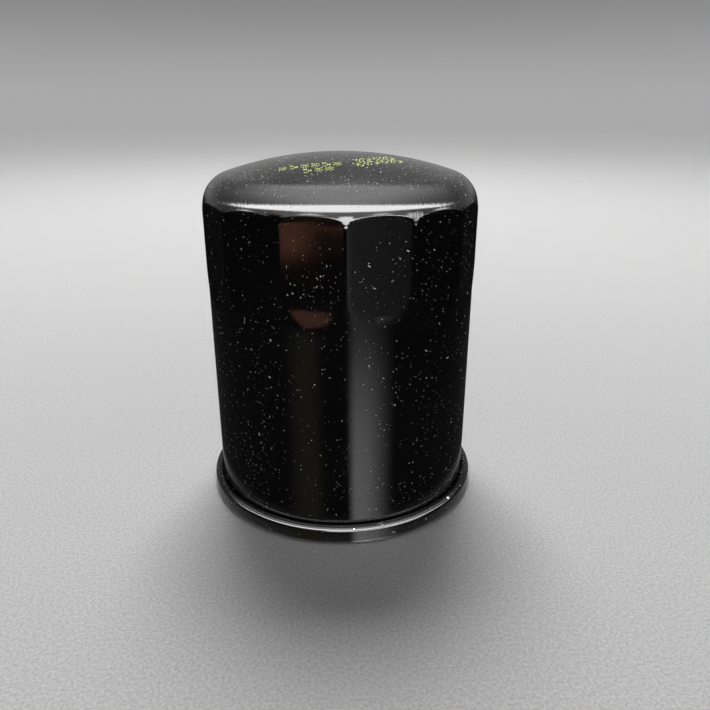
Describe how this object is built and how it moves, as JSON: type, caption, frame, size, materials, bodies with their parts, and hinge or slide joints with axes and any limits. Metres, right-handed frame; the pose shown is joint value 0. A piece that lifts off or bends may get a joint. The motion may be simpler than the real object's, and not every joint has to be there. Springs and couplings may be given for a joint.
{
  "type": "oil filter",
  "caption": "Spin-on engine oil filter: black painted can with wrench flats, seamed lid with gasket, threaded plate, anti-drain valve, pleated element and bypass valve.",
  "frame": {"origin": "centre of the gasket's sealing face, which is the plane the filter stands on and seats against the engine", "axes": "+Z along the filter's axis from the gasket towards the dome; a wrench flat faces +X and -X, and a ridge between two flats faces -Y"},
  "size_m": [0.0694, 0.0694, 0.085],
  "materials": {
    "black_paint": "gloss black stoved paint over drawn steel",
    "compound": "cured sealing compound",
    "nitrile": "satin moulded nitrile rubber",
    "zinc_steel": "zinc-plated pressed steel",
    "valve_rubber": "moulded silicone rubber",
    "tinplate": "bright rolled tinplate",
    "plastisol": "cured potting compound",
    "filter_paper": "resin-treated filter paper",
    "spring_steel": "oiled spring steel"
  },
  "bodies": {
    "housing": {"can": "black_paint", "seaming_lid": "black_paint", "seam_compound": "compound", "sealing_gasket": "nitrile", "tapping_plate": "zinc_steel", "element_seal_ring": "nitrile", "lower_end_cap": "tinplate", "lower_potting_ring": "plastisol", "pleated_media": "filter_paper", "media_seam_clip": "tinplate", "centre_tube": "tinplate", "upper_potting_ring": "plastisol", "upper_end_cap": "tinplate", "bypass_cage": "tinplate", "bypass_seat_plate": "tinplate", "bypass_spring": "spring_steel", "support_spring": "spring_steel"},
    "bypass_poppet": {"bypass_seal": "nitrile", "bypass_disc": "zinc_steel", "bypass_guide_pin": "zinc_steel"},
    "anti_drain_membrane": {"anti_drain_valve": "valve_rubber"}
  },
  "joints": [
    {"name": "bypass_open", "type": "slide", "parent": "housing", "child": "bypass_poppet", "axis": [0, 0, -1], "range_m": [0, 0.003], "stiffness_N_per_m": 2000, "deforming": ["bypass_spring"]},
    {"name": "anti_drain_lift", "type": "slide", "parent": "housing", "child": "anti_drain_membrane", "axis": [0, 0, 1], "range_m": [0, 0.0012], "stiffness_N_per_m": 400}
  ]
}
